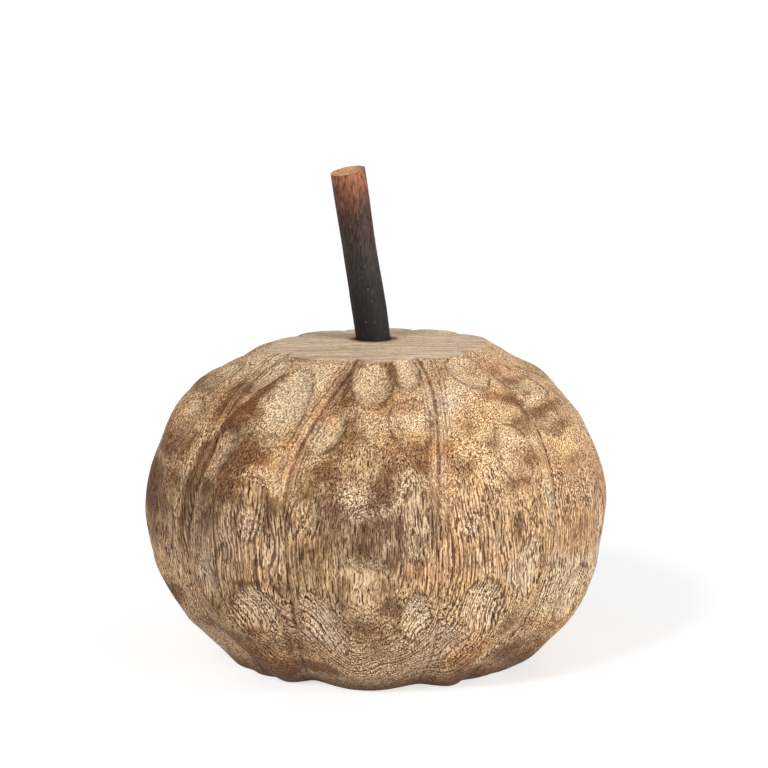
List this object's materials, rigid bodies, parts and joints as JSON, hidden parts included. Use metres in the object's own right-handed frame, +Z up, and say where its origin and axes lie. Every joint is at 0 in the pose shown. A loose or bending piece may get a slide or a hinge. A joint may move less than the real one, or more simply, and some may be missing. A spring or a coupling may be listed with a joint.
{
  "type": "carved wooden pumpkin",
  "caption": "Hand-carved wooden pumpkin ornament with uneven ribs, shallow gouge marks, a sanded top, a flat base and a slanted twig stem.",
  "frame": {"origin": "middle of the flat base, on the surface that the pumpkin stands on", "axes": "+Z up; -Y towards the front, the side that the picture shows; +X to the right as seen from the front, so the twig leans to -X"},
  "size_m": [0.1007, 0.1009, 0.1064],
  "materials": {
    "carved_wood": "open-pored hardwood, carved and lightly sanded, dry and matt",
    "twig_bark": "dark dry bark, reddish brown at the top and nearly black at the foot"
  },
  "bodies": {
    "root": {"carved_body": "carved_wood", "twig_stem": "twig_bark"}
  },
  "joints": []
}
